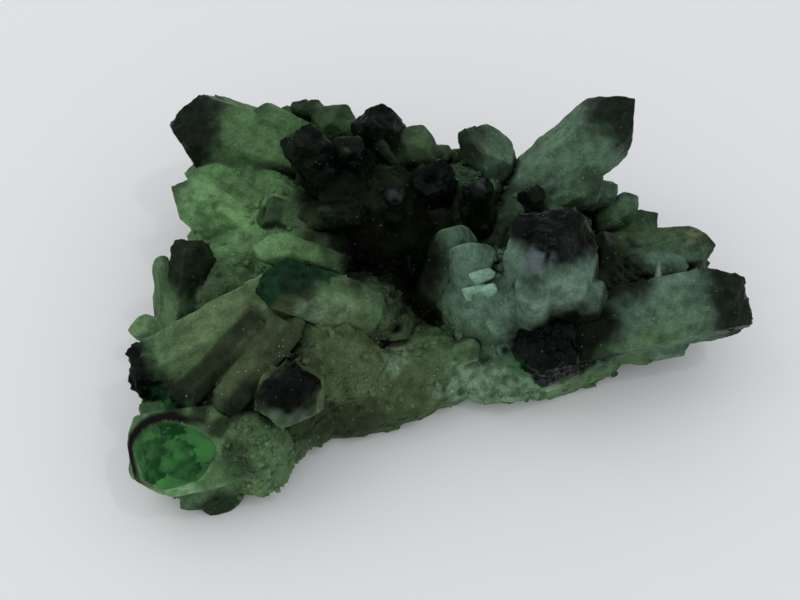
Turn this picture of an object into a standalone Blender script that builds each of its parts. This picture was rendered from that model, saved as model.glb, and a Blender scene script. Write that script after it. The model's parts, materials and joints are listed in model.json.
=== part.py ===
"""A cluster of green skeletal quartz: stout hexagonal points grown out of one lumpy quartz root.

The crystals grew together, so the whole cluster is one solid. +Z is up, the viewer's side is -Y,
and the origin lies in the middle of the flat cut that the cluster rests on. Millimetres below are
turned to metres when the meshes are made.
"""

import math

import bmesh
import bpy
from mathutils import Euler, Matrix, Vector, noise

MM = 0.001

# Quartz faces: the rhombohedron meets the prism at 38.2 degrees from the crystal's long axis
RHOMB_ANGLE = math.radians(38.2)
HEX_SIDES = 6
# How far the six end faces stand out from the tip, as shares of the width: three major ones that
# almost meet there, in turn with three minor ones
FACE_SHARES = (0.0, 0.12, -0.03, 0.14, -0.05, 0.10)
PIT_RIM_SHARE = 0.28  # rim and sloping wall of a skeletal hollow, as shares of its end face's reach
PIT_SLOPE_SHARE = 0.35
ROOT_SHARE = 0.35  # length of a crystal buried below its foot, as a share of its width
CUTTER_REACH = 300.0  # half side of the block that cuts the cluster's underside flat

# The root: lumps of massive quartz, each (name, centre, radii, turn in degrees)
LUMPS = [
    ("west_mound", (-57, -21, 10), (35, 29, 21), 35),
    ("south_west_foot", (-65, -41, 8), (27, 17, 14), 36),
    ("south_west_shard", (-70, -57, 4), (10, 6, 8), 20),
    ("west_saddle", (-46, 7, 14), (22, 15, 21), 10),
    ("west_back_mound", (-54, 27, 12), (32, 26, 24), 10),
    ("north_mound", (-22, 46, 11), (40, 22, 21), -5),
    ("hollow_floor", (-10, 8, 3), (38, 36, 15), 0),
    ("south_ledge", (-14, -19, 7), (38, 15, 19), 20),
    ("east_mound", (34, 2, 12), (30, 26, 25), 0),
    ("north_east_mound", (32, 34, 10), (30, 20, 21), 0),
    ("east_ridge", (60, 8, 10), (28, 14, 15), 5),
    ("south_foot", (23, -13, 6), (27, 13, 12), 0),
    ("west_shoulder", (-60, -22, 16), (24, 17, 19), 25),
    ("emerald_skirt", (-27, -5, 18), (18, 15, 21), 0),
    ("king_skirt", (24, -3, 21), (25, 15, 24), 0),
    ("north_bank", (-22, 36, 17), (30, 18, 24), -5),
    ("east_bank", (56, 20, 11), (26, 17, 17), 0),
    ("west_between", (-62, 42, 18), (22, 14, 18), 5),
    ("bud_bank", (-43, 20, 23), (14, 14, 14), 0),
    ("west_flank", (-70, 8, 17), (18, 17, 17), 0),
    ("front_slope", (-35, -21, 17), (19, 14, 20), 0),
    ("hollow_bank", (-20, -7, 13), (15, 13, 16), 0),
    ("king_bank", (49, 2, 20), (18, 15, 19), 0),
    ("north_saddle", (8, 43, 19), (16, 14, 19), 0),
    ("north_east_saddle", (36, 22, 20), (17, 14, 18), 0),
    ("east_between", (68, 7, 15), (20, 14, 12), 0),
    ("corner_shoulder", (-58, -48, 13), (13, 12, 16), 0),
]
LUMP_WAVE = 13.0  # spacing of the hummocks on the root
LUMP_RELIEF = 2.6  # how far they stand in or out

# Every crystal: name, foot, tip, width across flats, then what makes it differ from the plain form.
# flat: thickness over width. roll: turn about its axis. taper: width at the tip over width at the foot.
# apex: how far the tip stands off the axis, as shares of the width. end: width of the blunt end, as a
# share of the width, where the point didn't close. lean: its tilt, as degrees. pit: depth of the skeletal
# hollow in it.
CRYSTALS = [
    # north-west fan, lying outwards over the left edge
    ("west_giant", (-42, 57, 23), (-92, 59, 47), 26, dict(roll=8, apex=(0.0, 0.0), end=0.2, lean=(-10, 0))),
    ("west_under", (-42, 43, 18), (-86, 46, 35), 16, dict(roll=20, apex=(0.0, 0.0))),
    ("west_second", (-57, 24, 20), (-88, 37, 40), 17, dict(roll=10, apex=(0.05, 0.0))),
    ("west_bud", (-42, 27, 28), (-61, 26, 41), 11, dict(roll=0, end=0.7, pit=2.0)),
    ("west_third", (-36, 7, 33), (-58, 8, 46), 12, dict(flat=0.8, roll=15, apex=(0.2, 0.0))),
    ("emerald", (-28, -9, 32), (-58, -8, 50), 18, dict(flat=0.85, roll=25, end=0.3, lean=(10, 0))),
    # west side
    ("northwest_stub", (-83, -5, 12), (-77, 13, 45), 19, dict(flat=0.85, roll=12, taper=0.6, end=0.35, lean=(0, 8))),
    ("pale_bead", (-90, -5, 15), (-101, -7, 20), 8, dict(roll=15, taper=1.0)),
    ("west_slab", (-52, -10, 33), (-101, -34, 21), 23, dict(flat=0.85, roll=28, apex=(0.0, 0.25), end=0.6, lean=(0, -15))),
    ("ridge_small", (-58, -19, 37), (-82, -41, 26), 10, dict(roll=5, taper=0.8, end=0.4)),
    ("ridge_second", (-50, -21, 36), (-69, -45, 26), 12, dict(roll=18, taper=0.8, end=0.4)),
    # front-left corner
    ("front_head", (-43, -25, 12), (-48, -48, 45), 18, dict(roll=20, end=0.6, lean=(0, 12))),
    ("corner_gem", (-66, -45, 14), (-99, -59, 24), 25, dict(roll=30, taper=1.0, apex=(0.0, 0.0), end=0.45)),
    ("corner_bud_a", (-84, -40, 18), (-92, -38, 26), 8, dict(roll=10)),
    ("corner_bud_b", (-79, -43, 20), (-85, -40, 29), 7, dict(roll=35)),
    ("corner_low", (-66, -52, 10), (-81, -64, 7), 11, dict(roll=0)),
    # north edge
    ("back_block", (-46, 69, 26), (-47, 69, 46), 7, dict(roll=10, end=0.6)),
    ("back_spur", (-43, 69, 30), (-55, 68, 42), 6, dict(roll=25)),
    ("back_wide", (-35, 64, 22), (-36, 65, 49), 14, dict(roll=5, end=0.5, lean=(8, 0))),
    ("back_knob", (-42, 67, 26), (-42, 70, 45), 6, dict(roll=15)),
    ("dark_west", (-30, 34, 32), (-48, 41, 63), 14, dict(roll=15, end=0.3, lean=(10, 0))),
    ("broken_spot", (-28, 41, 34), (-30, 40, 60), 11, dict(roll=5, end=0.7, lean=(-12, 0))),
    ("dark_north", (-9, 52, 26), (-26, 55, 57), 15, dict(roll=24, end=0.4, lean=(10, 0))),
    ("north_shoulder", (0, 50, 22), (-13, 56, 48), 13, dict(roll=10, apex=(0.1, 0.1), end=0.3, lean=(-20, 0))),
    ("north_low_a", (2, 53, 24), (0, 54, 40), 8, dict(roll=0)),
    ("north_low_b", (8, 53, 22), (6, 55, 37), 8, dict(roll=15)),
    ("pit_head", (1, 44, 18), (-4, 31, 54), 14, dict(roll=12, end=0.8, pit=3.0)),
    ("glass_a", (-14, 33, 22), (-15, 28, 48), 7, dict(roll=10, end=0.4)),
    ("glass_b", (-14, 28, 20), (-15, 23, 43), 7, dict(roll=30)),
    ("dark_bar", (-41, 26, 34), (-21, 19, 46), 10, dict(roll=15, end=0.6)),
    ("north_point", (20, 50, 20), (13, 53, 53), 18, dict(roll=24, taper=0.85, apex=(0.3, 0.0))),
    # north-east fan
    ("ne_giant", (29, 44, 23), (64, 53, 62), 20, dict(roll=22, taper=1.05, apex=(0.05, -0.05))),
    ("ne_under", (32, 35, 26), (54, 34, 48), 13, dict(roll=10, apex=(0.1, 0.1))),
    ("ne_step_a", (47, 35, 26), (58, 34, 43), 8, dict(roll=15)),
    ("ne_step_b", (51, 29, 22), (66, 31, 39), 10, dict(roll=0, apex=(0.1, -0.1))),
    ("ne_step_c", (57, 25, 20), (73, 28, 34), 10, dict(roll=20, apex=(0.1, -0.1))),
    # east side
    ("east_point", (55, 20, 22), (91, 18, 30), 14, dict(roll=10, apex=(0.1, 0.0))),
    ("east_point_low", (68, 20, 17), (91, 19, 20), 9, dict(roll=25)),
    ("east_point_front", (60, 12, 25), (81, 11, 29), 9, dict(roll=15)),
    ("east_giant", (48, -10, 24), (103, -1, 33), 23, dict(flat=0.9, roll=26, taper=1.0, end=0.55, lean=(6, 0))),
    ("east_lobe", (62, -9, 19), (99, -4, 23), 12, dict(roll=10, end=0.4)),
    ("east_low", (50, -10, 14), (82, -9, 16), 12, dict(roll=20, apex=(0.1, 0.0))),
    # centre right
    ("king", (36, -4, 16), (31, -1, 72), 28, dict(roll=6, taper=0.85, apex=(0.0, -0.1), end=0.5, lean=(-6, -8))),
    ("king_side", (52, 3, 22), (50, 10, 50), 9, dict(roll=20)),
    ("king_ledge", (41, -6, 20), (45, -12, 50), 13, dict(roll=12, end=0.5)),
    ("mid_dark", (14, 30, 26), (11, 26, 54), 10, dict(roll=12, end=0.4)),
    ("mid_dark_b", (36, 31, 26), (27, 26, 50), 9, dict(roll=20)),
    ("pillar", (11, -5, 16), (9, 3, 56), 14, dict(roll=8, apex=(0.1, 0.2))),
    ("pillar_grey", (-1, 4, 18), (7, 13, 52), 15, dict(roll=22, apex=(0.2, 0.2))),
    # the hollow between the two halves, and the front
    ("ring_centre", (-12, -5, 8), (-15, -14, 33), 11, dict(flat=0.85, roll=10, end=0.75, lean=(8, -6), pit=3.0)),
    ("ring_west", (-31, -11, 12), (-32, -23, 41), 11, dict(flat=0.8, roll=25, end=0.75, lean=(-10, 5), pit=2.5)),
    ("hollow_pale", (-12, -20, 8), (-14, -23, 27), 8, dict(roll=15, end=0.5)),
    ("ring_low", (-5, -19, 8), (-8, -24, 25), 8, dict(roll=0, end=0.75, pit=2.0)),
    ("pit_west", (-46, -9, 16), (-48, -22, 43), 11, dict(flat=0.75, roll=18, end=0.75, lean=(12, 6), pit=3.0)),
    ("slope_mid", (-29, -12, 24), (-34, -4, 46), 12, dict(roll=12, apex=(0.0, 0.2))),
    ("hollow_a", (-26, 6, 10), (-24, 10, 32), 11, dict(roll=20)),
    ("hollow_b", (-4, 14, 8), (-8, 16, 30), 12, dict(roll=5, apex=(0.2, 0.0))),
    ("hollow_c", (-2, -4, 6), (-3, -8, 24), 9, dict(roll=28)),
    ("ring_east", (19, -7, 14), (18, -15, 38), 9, dict(roll=10, end=0.75, pit=2.0)),
    ("ring_east_low", (21, -14, 10), (20, -21, 30), 7, dict(roll=0, end=0.75, pit=1.6)),
    ("pale_blob", (9, -12, 10), (7, -20, 29), 9, dict(roll=14, end=0.6)),
    ("round_east", (53, -1, 14), (46, -9, 38), 10, dict(roll=22, end=0.6)),
    ("black_mass", (37, -13, 8), (30, -25, 44), 20, dict(roll=16, end=0.6, lean=(-8, 0))),
    # the far side, which the photo doesn't show
    ("far_a", (-60, 52, 14), (-78, 68, 24), 14, dict(roll=10, apex=(0.1, 0.1))),
    ("far_b", (-42, 56, 12), (-50, 73, 22), 12, dict(roll=20, end=0.4)),
    ("far_c", (-20, 55, 12), (-20, 73, 24), 15, dict(roll=5, apex=(0.1, 0.2))),
    ("far_d", (2, 50, 12), (6, 68, 22), 13, dict(roll=15, end=0.4)),
    ("far_e", (24, 46, 12), (32, 64, 22), 14, dict(roll=25, apex=(0.0, 0.1))),
    ("far_f", (46, 38, 12), (58, 53, 20), 12, dict(roll=0, end=0.4)),
    ("far_g", (60, 26, 10), (80, 34, 15), 12, dict(roll=18)),
    ("far_h", (-66, 36, 9), (-80, 44, 14), 11, dict(roll=12, apex=(0.1, 0.1))),
    ("far_i", (-74, 8, 9), (-88, 12, 12), 11, dict(roll=8)),
]


def new_object(name, bm, collection):
    """An object for this bmesh, in this collection."""
    mesh = bpy.data.meshes.new(name)
    bm.to_mesh(mesh)
    bm.free()
    obj = bpy.data.objects.new(name, mesh)
    collection.objects.link(obj)
    return obj


def hide_as_guide(obj):
    """A shape that is only joined to or cut from another."""
    obj.hide_render = True
    obj.display_type = "WIRE"


def cut_by_plane(bm, point, normal):
    """Removes what is beyond a plane, and closes the cut with one face, which is returned."""
    geometry = bm.verts[:] + bm.edges[:] + bm.faces[:]
    cut = bmesh.ops.bisect_plane(
        bm, geom=geometry, plane_co=point, plane_no=normal, clear_outer=True
    )
    rim = [e for e in cut["geom_cut"] if isinstance(e, bmesh.types.BMEdge)]
    if len(rim) < 3:
        return None
    return bmesh.ops.contextual_create(bm, geom=rim)["faces"][0]


def sink_pit(bm, face, depth):
    """A skeletal hollow: the end face keeps a raised rim, and its middle is sunk."""
    bmesh.ops.recalc_face_normals(bm, faces=bm.faces)
    middle = face.calc_center_median_weighted()
    down = -face.normal
    for share, drop in ((PIT_RIM_SHARE, 0), (PIT_SLOPE_SHARE, depth)):
        face = bmesh.ops.extrude_discrete_faces(bm, faces=[face])["faces"][0]
        for vert in face.verts:
            vert.co = vert.co.lerp(middle, share) + down * drop


def quartz_crystal(
    collection, name, foot, tip, width,
    flat=1.0, roll=0.0, taper=0.92, apex=(0.06, 0.04), end=0.0, lean=(0, 0), pit=0.0,
):
    """A six-sided quartz point from foot to tip: a tapered prism with rhombohedral end faces."""
    foot, tip = Vector(foot), Vector(tip)
    axis = (tip - foot).normalized()
    length = (tip - foot).length
    root = ROOT_SHARE * width
    half_side = math.pi / HEX_SIDES
    foot_radius = 0.5 * width / math.cos(half_side)
    faces_under_ends = Matrix.Rotation(half_side, 4, "Z")
    bm = bmesh.new()
    bmesh.ops.create_cone(
        bm,
        cap_ends=True,
        segments=HEX_SIDES,
        radius1=foot_radius,
        radius2=foot_radius * taper,
        depth=length + root,
        matrix=Matrix.Translation((0, 0, (length - root) / 2)) @ faces_under_ends,
    )
    point = Vector((apex[0] * width, apex[1] * width, length))
    for side in range(HEX_SIDES):
        turn = 2 * math.pi * (side + 0.5) / HEX_SIDES
        normal = Vector(
            (
                math.cos(turn) * math.cos(RHOMB_ANGLE),
                math.sin(turn) * math.cos(RHOMB_ANGLE),
                math.sin(RHOMB_ANGLE),
            )
        )
        cut_by_plane(bm, point + normal * FACE_SHARES[side] * width, normal)
    if end:
        drop = 0.5 * width * end / math.tan(RHOMB_ANGLE)
        outwards = Vector((math.tan(math.radians(lean[0])), math.tan(math.radians(lean[1])), 1))
        blunt_face = cut_by_plane(bm, point - Vector((0, 0, drop)), outwards.normalized())
        if pit:
            sink_pit(bm, blunt_face, pit)
    across = axis.cross(Vector((0, 1, 0))).normalized()
    frame = Matrix((across, axis.cross(across), axis)).transposed().to_4x4()
    shape = Matrix.Rotation(math.radians(roll), 4, "Z") @ Matrix.Diagonal((1, flat, 1, 1))
    bmesh.ops.transform(bm, matrix=Matrix.Translation(foot) @ frame @ shape, verts=bm.verts)
    bmesh.ops.scale(bm, vec=Vector((MM, MM, MM)), verts=bm.verts)
    bmesh.ops.recalc_face_normals(bm, faces=bm.faces)
    obj = new_object(name, bm, collection)
    hide_as_guide(obj)
    return obj


def root_lump(collection, name, centre, radii, turn):
    """A lump of massive quartz: a ball stretched to three radii and roughened into hummocks."""
    bm = bmesh.new()
    bmesh.ops.create_icosphere(bm, subdivisions=3, radius=1.0)
    placing = Matrix.Translation(centre) @ Euler((0, 0, math.radians(turn))).to_matrix().to_4x4()
    bmesh.ops.transform(bm, matrix=placing @ Matrix.Diagonal((*radii, 1)), verts=bm.verts)
    middle = Vector(centre)
    for vert in bm.verts:
        outwards = (vert.co - middle).normalized()
        vert.co += outwards * LUMP_RELIEF * noise.noise(vert.co / LUMP_WAVE)
    bmesh.ops.scale(bm, vec=Vector((MM, MM, MM)), verts=bm.verts)
    return new_object(name, bm, collection)


def ground_cutter(collection):
    """The block whose top face cuts the cluster's underside flat."""
    bm = bmesh.new()
    side = 2 * CUTTER_REACH * MM
    bmesh.ops.create_cube(bm, size=side, matrix=Matrix.Translation((0, 0, -side / 2)))
    obj = new_object("ground_cutter", bm, collection)
    hide_as_guide(obj)
    return obj


def quartz_material():
    """Milky quartz, bottle green and half frosted."""
    material = bpy.data.materials.new("green_quartz")
    material.use_nodes = True
    shader = material.node_tree.nodes["Principled BSDF"]
    shader.inputs["Base Color"].default_value = (0.060, 0.130, 0.065, 1.0)
    shader.inputs["Roughness"].default_value = 0.45
    shader.inputs["Metallic"].default_value = 0.0
    return material


def main():
    for old in list(bpy.data.objects):
        bpy.data.objects.remove(old)
    scene = bpy.context.scene
    shown = bpy.data.collections.new("skeletal_quartz")
    grown = bpy.data.collections.new("crystals_and_lumps")
    cutters = bpy.data.collections.new("cutters")
    for collection in (shown, grown, cutters):
        scene.collection.children.link(collection)

    first, *others = LUMPS
    cluster = root_lump(shown, *first)
    cluster.name = "quartz_cluster"
    for lump in others:
        hide_as_guide(root_lump(grown, *lump))
    for name, foot, tip, width, form in CRYSTALS:
        quartz_crystal(grown, name, foot, tip, width, **form)

    joined = cluster.modifiers.new("grown_together", "BOOLEAN")
    joined.operation = "UNION"
    joined.operand_type = "COLLECTION"
    joined.collection = grown
    joined.solver = "EXACT"
    flat_cut = cluster.modifiers.new("flat_cut", "BOOLEAN")
    flat_cut.operation = "DIFFERENCE"
    flat_cut.object = ground_cutter(cutters)
    flat_cut.solver = "EXACT"
    cluster.data.materials.append(quartz_material())


main()
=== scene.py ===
import json
import bmesh
import bpy
import numpy as np
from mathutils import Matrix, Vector

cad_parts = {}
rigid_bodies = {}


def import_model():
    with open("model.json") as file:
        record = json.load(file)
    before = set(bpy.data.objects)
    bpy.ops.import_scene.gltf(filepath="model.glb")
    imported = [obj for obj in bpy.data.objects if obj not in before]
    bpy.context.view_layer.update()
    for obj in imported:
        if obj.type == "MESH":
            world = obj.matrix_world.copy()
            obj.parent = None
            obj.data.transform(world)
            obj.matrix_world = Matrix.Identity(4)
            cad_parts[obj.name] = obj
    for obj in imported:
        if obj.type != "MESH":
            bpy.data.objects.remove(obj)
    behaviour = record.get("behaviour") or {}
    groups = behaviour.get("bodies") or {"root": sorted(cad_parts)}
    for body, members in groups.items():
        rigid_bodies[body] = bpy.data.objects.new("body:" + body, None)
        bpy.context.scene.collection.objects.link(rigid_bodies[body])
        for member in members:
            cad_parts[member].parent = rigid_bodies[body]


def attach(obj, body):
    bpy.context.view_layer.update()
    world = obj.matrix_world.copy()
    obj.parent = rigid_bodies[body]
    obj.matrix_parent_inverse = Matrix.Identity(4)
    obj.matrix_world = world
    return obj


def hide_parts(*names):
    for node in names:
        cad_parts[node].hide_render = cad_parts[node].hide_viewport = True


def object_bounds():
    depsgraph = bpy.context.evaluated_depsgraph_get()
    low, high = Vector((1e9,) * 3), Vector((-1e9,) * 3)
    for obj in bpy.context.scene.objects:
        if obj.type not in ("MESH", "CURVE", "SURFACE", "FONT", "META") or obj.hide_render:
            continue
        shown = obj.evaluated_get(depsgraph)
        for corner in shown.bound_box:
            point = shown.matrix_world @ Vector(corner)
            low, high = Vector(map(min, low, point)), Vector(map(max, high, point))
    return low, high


for startUp in list(bpy.data.objects):  # an empty scene, also where the script is run by hand
    bpy.data.objects.remove(startUp)
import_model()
cadLow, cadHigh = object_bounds()
print("frame loaded")

# A skeletal quartz cluster: frosted green points with dark glassy ends, grown from one lumpy root.
# Tables and shapes are in millimetres; a mesh gets metres when it is made.
mm = 0.001
rhombAngle = np.radians(38.2)  # quartz's end faces, from the crystal's long axis
quartzIndex = 1.544  # how strongly quartz bends light
endFaceSteps = (0.0, 0.12, -0.03, 0.14, -0.05, 0.10)  # how far each end face stands out, in widths
latticeCells = 32  # the noise repeats after this many cells


def linearColour(hexValue, alpha=1.0):
    # sRGB hex to linear light
    parts = [int(hexValue[i : i + 2], 16) / 255 for i in (1, 3, 5)]
    return (*[c / 12.92 if c <= 0.04045 else ((c + 0.055) / 1.055) ** 2.4 for c in parts], alpha)


def smooth(low, high, value):
    # 0 below low, 1 above high, and a smooth S between them
    t = np.clip((value - low) / (high - low), 0, 1)
    return t * t * (3 - 2 * t)


def betweenCorners(share, valueAt):
    # values at a cube's eight corners, blended by how far along each of its three ways the spot lies
    total = 0
    for corner in np.ndindex(2, 2, 2):
        total = total + np.prod(np.where(corner, share, 1 - share), axis=-1) * valueAt(corner)
    return total


def softNoise(points, size, seed):
    # heights of -1 to 1 at the corners of cubes of this size, blended smoothly between the corners
    heights = np.random.default_rng(seed).uniform(-1, 1, (latticeCells,) * 3)
    place = points / size
    cube = np.floor(place).astype(int)
    share = place - cube
    return betweenCorners(share * share * (3 - 2 * share),
                          lambda corner: heights[tuple(np.moveaxis((cube + corner) % latticeCells, -1, 0))])


def layeredNoise(points, size, seed, layers=3):
    # softNoise, then half as high at half the size, and so on
    return sum(softNoise(points, size / 2**i, seed + i) / 2**i for i in range(layers))


def facetRelief(points, size, seed):
    # each point belongs to the nearest of the scattered cell middles, and each cell is one flat facet:
    # relief = own step + (point - middle) . own slope, in shares of the cell size
    rng = np.random.default_rng(seed)
    offsets = rng.random((latticeCells,) * 3 + (3,))
    slopes = rng.uniform(-1, 1, (latticeCells,) * 3 + (4,))
    place = points / size
    cube = np.floor(place).astype(int)
    nearest = np.full(place.shape[:-1], 1e9)
    relief = np.zeros(place.shape[:-1])
    for step in np.ndindex(3, 3, 3):
        near = cube + np.array(step) - 1
        x, y, z = np.moveaxis(near % latticeCells, -1, 0)
        away = place - near - offsets[x, y, z]
        distance = (away**2).sum(-1)
        own = slopes[x, y, z]
        value = 0.45 * own[..., 3] + (away * own[..., :3]).sum(-1) * 0.7
        relief = np.where(distance < nearest, value, relief)
        nearest = np.minimum(nearest, distance)
    return relief


finish = {
    "cell": 0.55,  # spacing of the surface grid
    "edgeRounding": 0.12,  # how much a crystal edge is worn down
    "waveSize": 9.0,  # slow unevenness of the faces
    "waveHeight": 0.42,
    "crust": 0.45,  # thickness of the frosted sleeve round a dark end
    "ragged": 2.2,  # how far the sleeve's rim wanders
    "raggedSize": 6.0,
    "clearRim": (-0.8, 1.5),  # where the sleeve thins out, past the rim
    "shadeRim": (-3.5, 4.5),  # where the colour darkens
    "facetSize": 4.2,  # blocky parallel growth on the dark ends
    "facetHeight": 1.5,
    "fineFacetSize": 1.3,
    "fineFacetHeight": 0.4,
    "pitRing": (0.66, 0.36),  # where a hollow end drops, as shares of the blunt end's radius
    "window": 2.6,  # depth of a clear window over the milky body
    "knobSize": 1.6,  # sugary relief on the body
    "knobHeight": 0.13,
    "rootShare": 0.35,  # length buried below the foot, in widths
    "fanDepth": (0.95, 0.25),  # from the tip down to the fan's centre, in widths, and less with a blunt end
    "lowestFan": 0.15,  # that centre's least height, as a share of the length
    "fanRows": 1.15,  # rows of the fan, for each cell of the width
    "edgePower": 0.35,
}
plainForm = dict(flat=1.0, roll=0.0, taper=0.92, apex=(0.06, 0.04), end=0.0, lean=(0, 0), pit=0.0,
                 dark=0.0, lop=(0, 0), black=0.8, rough=0.2, tone=1.0, glow=0.0, side=0, window=False)
# flat: thickness over width. roll and lean: degrees. taper: width at the tip over width at the foot. apex
# and dark: widths. end: blunt end over width. pit: millimetres. lop: slope of the dark end's rim. black, glow
# and tone: colour; tone is also set low on the crystals in the hollow as painted shade. rough: broken facets
# on the dark end. side: how many small points its flanks carry
cornerWindow = {"middle": (-80, -57.5, 28), "radii": (13.5, 11, 11), "rimSide": (-0.8, 0.5, 0.4),
                "waver": 0.10, "waverSize": 6.0}


def unit(vector):
    vector = np.asarray(vector, float)
    return vector / np.linalg.norm(vector)


def crystalForm(row):
    # fills in a crystal's row: its axes, its length, and its faces as (normal, distance from the foot):
    # six tapering prism faces, six end faces, and the blunt end
    form = {**plainForm, **row}
    foot, tip, width = np.array(form["foot"], float), np.array(form["tip"], float), form["width"]
    axis = unit(tip - foot)
    across = unit(np.cross(axis, (0, 1, 0)))
    length, root = np.linalg.norm(tip - foot), finish["rootShare"] * width
    turns = np.pi * (np.arange(6) + 0.5) / 3
    slope = 0.5 * width * (1 - form["taper"]) / (length + root)
    sides = np.stack([np.cos(turns), np.sin(turns), np.full(6, slope)], -1)
    point = np.array([form["apex"][0] * width, form["apex"][1] * width, length])
    ends = np.stack([np.cos(turns) * np.cos(rhombAngle), np.sin(turns) * np.cos(rhombAngle),
                     np.full(6, np.sin(rhombAngle))], -1)
    normals, reaches = [sides, ends], [np.full(6, 0.5 * width - slope * root),
                                       ends @ point + np.array(endFaceSteps) * width]
    drop = 0.5 * width * form["end"] / np.tan(rhombAngle)
    if form["end"]:
        tilt = np.tan(np.radians(form["lean"]))
        blunt = unit((tilt[0], tilt[1], 1))
        normals.append(blunt[None])
        reaches.append(np.array([blunt @ (point - (0, 0, drop))]))
    turn = np.radians(form["roll"])
    spin = np.array([[np.cos(turn), -np.sin(turn), 0], [np.sin(turn), np.cos(turn), 0], [0, 0, 1]])
    # local (x, y, z) to the cluster's axes: thinned along y, turned about the axis, then placed
    axes = np.stack([across, np.cross(axis, across), axis], -1) @ spin @ np.diag((1, form["flat"], 1))
    form.update(foot=foot, axes=axes, length=length, root=root, point=point, top=length - drop,
                normals=np.vstack(normals), reaches=np.concatenate(reaches))
    return form


def crystal(foot, tip, width, **form):
    # one row of a piece's table
    return dict(foot=foot, tip=tip, width=width, **form)


def rayLength(origins, rays, normals, reaches, power):
    # distance along each ray to the nearest face, with the edges rounded by a soft minimum:
    # d = nearest * (sum of (nearest / distance) ^ power) ^ (-1 / power)
    facing = rays @ normals.T
    gap = reaches - origins @ normals.T
    distance = np.where(facing > 1e-6, gap / np.maximum(facing, 1e-6), 1e6)
    nearest = distance.min(-1, keepdims=True)
    return (nearest * ((nearest / distance) ** power).sum(-1, keepdims=True) ** (-1 / power))[..., 0]


def windowShare(places):
    # distance from the middle of the corner crystal's clear window, in radii: 1 at its wandering edge
    away = (places - cornerWindow["middle"]) / cornerWindow["radii"]
    waver = cornerWindow["waver"] * layeredNoise(places, cornerWindow["waverSize"], 101, 2)
    return np.linalg.norm(away, axis=-1) + waver


def crystalSurface(seed, form, clearCore=False):
    # a surface of angle round the axis (columns) and way up the crystal (rows). Up to the head's centre each
    # row is a level ring of rays from the axis; above it the rays fan out from that centre up to the tip.
    width, length, root, point = form["width"], form["length"], form["root"], form["point"]
    cell = finish["cell"]
    columns = 6 * max(4, round(np.pi * width / cell / 6))
    depth, lessWhenBlunt = finish["fanDepth"]
    fanDepth = (depth - lessWhenBlunt * form["end"]) * width
    centreHeight = max(finish["lowestFan"] * length, length - fanDepth)
    levels = max(3, round((centreHeight + root) / cell))
    fans = max(6, round(finish["fanRows"] * width / cell))
    angles = 2 * np.pi * np.arange(columns) / columns
    rise = np.concatenate([np.zeros(levels), 0.5 * np.pi * (np.arange(fans) + 0.5) / (fans + 0.5)])
    height = np.concatenate([np.linspace(-root, centreHeight, levels), np.full(fans, centreHeight)])
    share = np.clip(height / length, 0, 1)
    origins = np.stack([share * point[0], share * point[1], height], -1)[:, None]
    rays = np.stack([np.cos(rise)[:, None] * np.cos(angles), np.cos(rise)[:, None] * np.sin(angles),
                     np.broadcast_to(np.sin(rise)[:, None], (len(rise), columns))], -1)
    power = finish["edgePower"] * width / finish["edgeRounding"]
    reach = rayLength(origins, rays, form["normals"], form["reaches"], power)
    local = origins + rays * reach[..., None]

    # where the dark end begins: a rim that leans with lop and wanders round the crystal
    own = local + seed * 7.3
    rim = form["top"] - form["dark"] * width + finish["ragged"] * layeredNoise(own, finish["raggedSize"], 11)
    over = local[..., 2] - local[..., :2] @ np.array(form["lop"], float) - rim
    clear = smooth(*finish["clearRim"], over + 0.8 * softNoise(own, 1.5, 14)) * (form["dark"] > 0)
    shade = smooth(*finish["shadeRim"], over + 1.2 * softNoise(own, 2.5, 15)) * (form["dark"] > 0)
    crust = finish["crust"] * (0.7 + 0.6 * softNoise(own, 3.0, 21)) * (1 - clear) - 0.6 * finish["crust"]
    relief = crust + finish["waveHeight"] * layeredNoise(own, finish["waveSize"], 31, 2)
    relief += finish["knobHeight"] * layeredNoise(own, finish["knobSize"], 41, 2) * (1 - clear)
    facets = finish["facetHeight"] * facetRelief(own, finish["facetSize"], 51)
    facets += finish["fineFacetHeight"] * facetRelief(own, finish["fineFacetSize"], 61)
    relief += form["rough"] * facets * clear
    inside = np.zeros(local.shape[:2])
    if form["pit"]:
        # the skeletal hollow: inside a ring on the blunt end the surface drops by the pit's depth
        offAxis = np.hypot(local[..., 0] - point[0], local[..., 1] - point[1]) + 0.5 * softNoise(own, 3.0, 16)
        inside = smooth(*finish["pitRing"], offAxis / (0.5 * width * form["end"])) * (rise[:, None] > 0.6)
        relief -= form["pit"] * inside
    if form["window"]:
        # the milky body is sunk inside the window's edge; the clear core is sunk outside it
        edge = windowShare(form["foot"] + local @ form["axes"].T)
        if clearCore:
            relief = 0.3 * relief - finish["window"] * smooth(0.93, 1.06, edge) - 0.15
        else:
            relief = relief - finish["window"] * smooth(1.0, 0.88, edge)
            relief += 0.5 * smooth(1.22, 1.06, edge) * smooth(0.96, 1.06, edge)
    local = local + rays * relief[..., None]
    local = np.concatenate([local.reshape(-1, 3), [[0, 0, -root], local[-1].mean(0)]])
    world = form["foot"] + local @ form["axes"].T
    tipValues = (form["dark"] > 0, form["pit"] > 0)

    def withPoles(values, tipValue):
        return np.append(values, [0, tipValue])

    values = dict(darkEnd=withPoles(shade * form["black"], tipValues[0] * form["black"]),
                  tone=np.full(len(world), form["tone"]),
                  glow=withPoles(clear * form["glow"], tipValues[0] * form["glow"]),
                  pit=withPoles(inside, tipValues[1]), root=np.zeros(len(world)))
    return world, (len(rise), columns), values


sidePoints = {
    "width": (0.26, 0.46),  # in widths of the crystal that carries them
    "start": 0.45,  # the highest foot, as a share of the length
    "length": (1.6, 3.2),  # in own widths
    "highest": 0.92,
    "footOut": 0.84,  # off the axis, as a share of the half width
    "tipOut": (0.95, 1.12),
    "apex": 0.12,
    "dark": (0.2, 0.6),
    "black": 0.8,
    "tone": (0.85, 1.1),
}


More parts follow.
